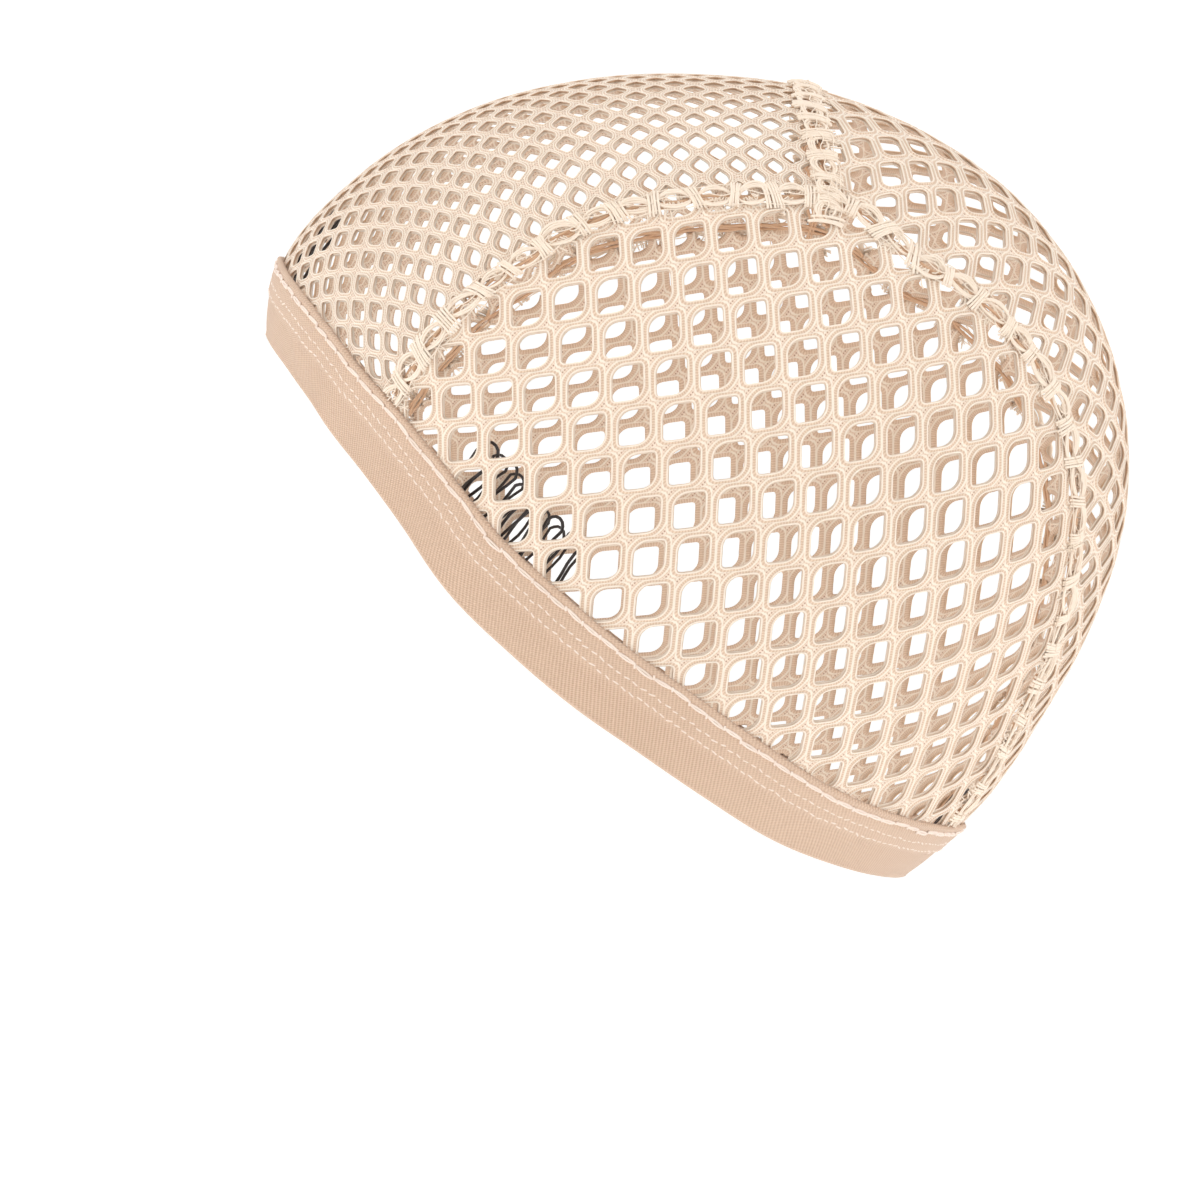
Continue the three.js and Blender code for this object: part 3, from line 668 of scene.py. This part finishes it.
def keepSide(points, spare):
    inBand = rim.asideOf(points) > -netEdge["underBand"] - spare
    return inBand & (sideSeam.asideOf(points) < netEdge["pastSeam"] + spare) & (points[:, 0] > 0)


def keepFront(points, spare):
    inside = rim.asideOf(points) > -netEdge["underBand"] - spare
    inside &= sideSeam.asideOf(onLeft(points)) > -netEdge["pastSeam"] - spare
    return inside & (crownSeam.asideOf(points) > -netEdge["pastSeam"] - spare)


def keepBack(points, spare):
    inside = rim.asideOf(points) > -netEdge["underBand"] - spare
    inside &= sideSeam.asideOf(onLeft(points)) > -netEdge["pastSeam"] - spare
    return inside & (crownSeam.asideOf(points) < netEdge["pastSeam"] + spare)


def addNets():
    made = {}
    for key, keep in (("left", keepSide), ("front", keepFront), ("back", keepBack)):
        net = nets[key]
        bm = netPanel(net, keep)
        if key == "left":
            mirrored = bm.copy()
            bmesh.ops.scale(mirrored, vec=(-1, 1, 1), verts=mirrored.verts)
            bmesh.ops.reverse_faces(mirrored, faces=mirrored.faces)
            made["right"] = meshObject("netRight", mirrored, mm)
        made[key] = meshObject(net["name"], bm, mm)
    for key, piece in made.items():
        net = nets["left" if key == "right" else key]
        wall = piece.modifiers.new("thickness", "SOLIDIFY")
        wall.thickness, wall.offset = net["strand"]["thickness"] * mm, -1
        wall.use_even_offset = False
        paint = {"name": piece.name, **net["strand"]}
        piece.data.materials.append(netPaint(paint))
        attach(piece, "root")
        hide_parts("net_" + key)


# Elastic band round the rim: a doubled top with stitch rows, and a plain woven lower half
band = {
    "width": 18,
    "flat": (0.5, 0.019),        # the strip before it is stretched, metres
    "lift": 0.6,
    "fold": 8.5,                 # how far down the doubled cloth reaches
    "foldLift": 0.4,
    "ridge": 0.35,               # rolled top edge
    "hem": 0.9,
    "thickness": 1.6,
    "alongSteps": 360,
    "downSteps": 26,
    "weavePitch": 0.78,
    "pucker": 0.14,
    "puckerDown": 3.4,
    "rowDip": 0.16,              # how far each stitch row is pulled in
    "hemRise": 0.2,
    "edgeDrop": 0.7,             # both edges turn in
}
bandStitches = {
    "topRow": {"down": 1.95, "pitch": 4.6, "radius": 0.26},
    "rows": [(5.3, 2.1, 0.62), (7.6, 2.0, 0.66)],     # mm down, pitch, share stitched
    "rowRadius": 0.19,
}


def bandLift(along, down):
    top = band["foldLift"] * np.clip((band["fold"] - down) / 0.5 + 0.5, 0, 1)
    ridge = band["ridge"] * np.exp(-((down - 0.6) / 0.5) ** 2)
    hem = band["hemRise"] * np.exp(-((down - band["width"] + 0.7) / 0.35) ** 2)
    edges = sum(-band["edgeDrop"] * np.exp(-((down - edge) / 0.22) ** 2) for edge in (0, band["width"]))
    stitched = (bandStitches["topRow"]["down"], *(row[0] for row in bandStitches["rows"]))
    rows = sum(-band["rowDip"] * np.exp(-((down - row) / 0.4) ** 2) for row in stitched)
    pucker = band["pucker"] * np.sin(along * 2 * math.pi / bandStitches["topRow"]["pitch"] + np.sin(along / 31) * 2)
    pucker = pucker * np.exp(-((down - band["puckerDown"]) / 2) ** 2)
    sway = 0.12 * np.sin(along / 23 + down / 9) + 0.1 * np.sin(along / 11.3 - down / 5)
    return band["lift"] + top + ridge + hem + edges + rows + pucker + sway


def onBand(along, down, lift):
    along, down, lift = np.broadcast_arrays(*(np.asarray(v, float) for v in (along, down, lift)))
    return np.c_[along, -down, bandLift(along, down) + lift]


def addBand():
    bm = bmesh.new()
    bmesh.ops.create_grid(bm, x_segments=band["alongSteps"], y_segments=band["downSteps"], size=0.5)
    flat = np.array([v.co for v in bm.verts])
    along = (flat[:, 0] + 0.5) * rim.length
    share = flat[:, 1] + 0.5
    down = band["width"] * (share - np.sin(share * 2 * math.pi) / (2 * math.pi) * 0.55)
    uv = bm.loops.layers.uv.new("strip")
    bm.verts.index_update()
    for face in bm.faces:
        for loop in face.loops:
            loop[uv].uv = (along[loop.vert.index], down[loop.vert.index])
    for vert, point in zip(bm.verts, rim.beside(*onBand(along, down, 0).T)):
        vert.co = point
    bmesh.ops.remove_doubles(bm, verts=bm.verts, dist=0.02)
    bm.normal_update()
    turnOut(bm)
    piece = meshObject("rimBand", bm, mm)
    wall = piece.modifiers.new("thickness", "SOLIDIFY")
    wall.thickness, wall.offset = band["thickness"] * mm, -1
    piece.data.materials.append(bandPaint(band))
    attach(piece, "root")
    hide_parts("band")


# Stitch rows: long linked stitches on top, and two rows of short ones
def addBandStitches():
    random = np.random.default_rng(7)
    top = bandStitches["topRow"]
    count = round(rim.length / top["pitch"])
    pitch = rim.length / count
    paths = []
    t = np.linspace(0, 1, 9)
    for index in range(count):
        tilt, sway = random.normal(0, 0.28), random.normal(0, 0.18)
        for shift, raised in ((-0.24, 0.1), (0.26, 0.16)):
            along = (index + 0.04 + 0.95 * t) * pitch
            side = shift * np.sin(t * math.pi) ** 0.7 + tilt * (t - 0.5) + sway
            lift = raised * np.sin(t * math.pi) ** 0.5 + 0.02
            paths.append(onBand(along, top["down"] + side, lift))
        knot = np.linspace(-0.45, 0.45, 5)
        paths.append(onBand(index * pitch + knot * 0.5, top["down"] + knot + sway, 0.3 - 0.7 * knot ** 2))
    made = [threadObject("bandTopStitches", rim.layAll(paths), top["radius"], 6)]
    paths = []
    t = np.linspace(0, 1, 6)
    for down, pitch, share in bandStitches["rows"]:
        count = round(rim.length / pitch)
        step = rim.length / count
        for index in range(count):
            length = share * random.uniform(0.85, 1.15)
            along = (index + (1 - length) / 2 + length * t) * step
            side = random.normal(0, 0.12) + random.normal(0, 0.25) * (t - 0.5)
            paths.append(onBand(along, down + side, 0.12 * np.sin(t * math.pi) ** 0.5 - 0.08))
    made.append(threadObject("bandRowStitches", rim.layAll(paths), bandStitches["rowRadius"], 6))
    for piece in made:
        paint = threadPaint(piece.name + "Paint", clothTones["stitch"], clothTones["stitchShade"])
        piece.data.materials.append(paint)
        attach(piece, "root")
        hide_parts("band")


# Gathered seams: bundles of cord across the seam, an eye between each two, and a fine sewing thread
seams = {
    "sideLeft": {"node": "seam_left", "pitch": 8.4, "halfWidth": 3.0, "seed": 11, "looseShare": 0.75},
    "crown": {"node": "crown_seam", "pitch": 6.6, "halfWidth": 3.3, "seed": 23, "looseShare": 0.8},
    "spacing": 0.57,
    "eye": 1.5,                  # half height of the eye, mm
    "cordRadius": 0.3,
    "foldRadius": 0.4,
    "threadRadius": 0.14,
    "endRadius": 0.18,
    "threadStep": 1.1,
    "threadLift": 1.3,
    "edgeThreadLift": 0.85,
    "foldRows": (-0.6, 0, 0.6),
    "foldLift": -0.55,
    "clearOfBand": 0.3,
}


def seamPaths(line, seam):
    random = np.random.default_rng(seam["seed"])
    count = max(2, round(line.length / seam["pitch"]))
    pitch = line.length / count
    half, spacing = seam["halfWidth"], seams["spacing"]
    cords, threads, ends = [], [], []
    t = np.linspace(0, 1, 9)
    bow = np.sin(t * math.pi)
    places = (np.arange(count + 1) + random.uniform(-0.07, 0.07, count + 1)) * pitch
    for place in places:
        lean, tall = random.normal(0, 1.0), random.uniform(0.85, 1.15)
        strands, spread = random.integers(4, 7), random.uniform(0.1, 0.35)
        for strand in range(strands):
            offset = (strand - (strands - 1) / 2) * spacing
            along = place + offset * (1.2 - spread * bow) + lean * (t - 0.5) + random.normal(0, 0.08)
            lift = 0.3 + 0.8 * bow ** 0.6 - 0.05 * offset ** 2 + random.normal(0, 0.08)
            cords.append(flatPath(along, tall * half * (2 * t - 1) + random.normal(0, 0.15), lift))
    for start, end in zip(places, places[1:]):
        middle, room = (start + end) / 2, (end - start) / 2
        gape, tip = random.uniform(0.75, 1.35), random.normal(0, 0.14)
        for sign in (1, -1):
            first = random.uniform(0.9, 1.2) * gape * seams["eye"]
            for ring in range(random.integers(2, 4) if sign > 0 else random.integers(1, 3)):
                along = middle + (room - 0.5 + 0.1 * ring) * (2 * t - 1)
                aside = sign * (first + spacing * ring) * bow ** random.uniform(0.5, 0.8) + tip * (along - middle)
                lift = 0.35 + 0.35 * bow + 0.12 * ring + random.normal(0, 0.08)
                cords.append(flatPath(along, aside, lift))
        # cut ends of cord, poking out of the seam under the side net
        if random.random() < seam["looseShare"]:
            root, fan = middle + random.uniform(-1.6, 1.6), random.normal(0, 0.35)
            for strand in range(random.integers(7, 14)):
                s = np.linspace(0, 1, 6)
                length = random.uniform(2.0, 4.8)
                turn = fan + random.normal(0, 0.35)
                curl = random.normal(0, 0.6)
                along = root + random.normal(0, 0.8) + length * s * np.sin(turn + curl * s)
                aside = -0.6 - length * s * np.cos(turn + curl * s)
                ends.append(flatPath(along, aside, 0.45 - 0.5 * s + random.normal(0, 0.2)))
        for strand in range(random.integers(1, 4)):
            s = np.linspace(0, 1, 7)
            size = random.uniform(0.6, 1.5)
            spin = random.uniform(0, 2 * math.pi)
            along = middle + random.normal(0, 1.4) + size * np.cos(spin + s * 3.4)
            aside = random.normal(0, 1.0) + size * 0.7 * np.sin(spin + s * 3.4)
            ends.append(flatPath(along, aside, 0.5 + 1.1 * s * random.uniform(0.2, 1)))
    run = np.linspace(0, line.length, int(line.length / seams["threadStep"]))
    middleSway = 0.45 * np.sin(run * 2 * math.pi / pitch) + 0.3 * np.sin(run / 2.3)
    threads.append(flatPath(run, middleSway, seams["threadLift"]))
    for aside, phase in ((0.8 * half, 0.3), (-0.85 * half, 1.9)):
        threads.append(flatPath(run, aside + 0.3 * np.sin(run / 1.7 + phase), seams["edgeThreadLift"]))

    # cut net edges folded inwards under the seam, painted warmer and darker than the net as painted shade in the
    # seam's eyes
    folds = []
    for aside in seams["foldRows"]:
        sway, phase = random.uniform(0.2, 0.5), random.uniform(0, 6)
        lift = seams["foldLift"] + 0.25 * np.sin(run / 2.7 + 2 * phase)
        folds.append(flatPath(run, aside + sway * np.sin(run / 1.9 + phase), lift))

    # nothing runs on over the band
    trimmed = []
    for paths in (cords, threads, ends, folds):
        for path in paths:
            path[:, 0] = np.clip(path[:, 0], 0, line.length)
        paths = line.layAll(paths)
        above = rim.asideOf(np.concatenate(paths)) > seams["clearOfBand"]
        above = np.split(above, np.cumsum([len(path) for path in paths])[:-1])
        trimmed.append([path[keep] for path, keep in zip(paths, above) if keep.sum() > 2])
    return trimmed


def flatPath(along, aside, lift):
    return np.stack(np.broadcast_arrays(along, aside, lift), 1)


def addSeams():
    for key, line in {"sideLeft": sideSeam, "crown": crownSeam}.items():
        seam = seams[key]
        cords, threads, ends, folds = seamPaths(line, seam)
        for part, paths, radius, sides in (("Cords", cords, seams["cordRadius"], 6),
                                           ("Threads", threads, seams["threadRadius"], 4),
                                           ("Ends", ends, seams["endRadius"], 4),
                                           ("Folds", folds, seams["foldRadius"], 4)):
            name = "seam" + key[0].upper() + key[1:] + part
            piece = threadObject(name, paths, radius, sides)
            pair = [(piece, seam["node"])]
            if key == "sideLeft":
                bm = bmesh.new()
                bm.from_mesh(piece.data)
                bmesh.ops.scale(bm, vec=(-1, 1, 1), verts=bm.verts)
                bmesh.ops.reverse_faces(bm, faces=bm.faces)
                pair.append((meshObject(name.replace("Left", "Right"), bm), "seam_right"))
            for piece, node in pair:
                # the folds take the darker warm tones: painted shade behind the seam's eyes
                tones = ("fold", "foldShade") if part == "Folds" else ("seam", "seamShade")
                paint = threadPaint(piece.name + "Paint", *(clothTones[key] for key in tones))
                piece.data.materials.append(paint)
                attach(piece, "root")
                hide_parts(node)


# Wire combs held under the band, their loops standing up inside the cap
combs = {
    "wireRadius": 0.37,
    "seats": [                 # name, node, share of the rim from the forehead, depth under the edge
        ("combFront", "comb_front", 0.0, 0.3),
        ("combLeft", "comb_left", 0.205, 0.6),
        ("combNape", "comb_nape", 0.5, 0.5),
        ("combRight", "comb_right", 0.795, 0.6),
    ],
    "width": 34,
    "loops": 6,
    "length": 22,
    "napeLength": 16,
    "lift": -2.2,
    "turns": 36,               # of the wire wound along the spine
    "turnRadius": 0.62,
}


def addCombs():
    random = np.random.default_rng(5)
    paint = wirePaint()
    for name, node, place, depth in combs["seats"]:
        middle = place * rim.length
        spine = -depth * band["width"]
        pitch = combs["width"] / combs["loops"]
        path = []
        for loop in range(combs["loops"]):
            left = middle - combs["width"] / 2 + loop * pitch
            height = combs["napeLength" if node == "comb_nape" else "length"] * random.uniform(0.94, 1.03)
            t = np.linspace(0, 1, 9)
            wave = 0.35 * np.sin(t * 3 * math.pi + random.uniform(0, 2))
            up = np.c_[left + 0.16 * pitch + wave, spine + t * (height - 0.3 * pitch)]
            turn = np.linspace(math.pi, 0, 7)[1:-1]
            top = np.c_[left + pitch * (0.5 + 0.34 * np.cos(turn)),
                        spine + height - 0.3 * pitch + 0.34 * pitch * np.sin(turn)]
            down = np.c_[left + 0.84 * pitch - wave[::-1], spine + t[::-1] * (height - 0.3 * pitch)]
            path += [up, top, down]
        flat = np.concatenate(path)
        bow = 0.7 * np.sin(np.clip((flat[:, 1] - spine) / combs["length"], 0, 1) * math.pi)
        points = rim.beside(flat[:, 0], flat[:, 1], combs["lift"] - bow)
        coil = np.linspace(0, 1, 8 * combs["turns"])
        ends = middle + combs["width"] * (coil - 0.5) * 1.02
        acrossWay = rim.at(ends)[2]
        centre = rim.beside(ends, spine, combs["lift"])
        out = formNormal(centre)
        angle = coil * 2 * math.pi * combs["turns"]
        wrap = centre + combs["turnRadius"] * (np.cos(angle)[:, None] * out + np.sin(angle)[:, None] * acrossWay)
        piece = threadObject(name, [points, wrap], combs["wireRadius"], 6)
        piece.data.materials.append(paint)
        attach(piece, "root")
        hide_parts(node)


addStudio()
print("wig cap: studio ready")
addNets()
print("wig cap: nets laid")
addBand()
addBandStitches()
print("wig cap: band sewn")
addSeams()
print("wig cap: seams gathered")
addCombs()
print("wig cap: combs set")
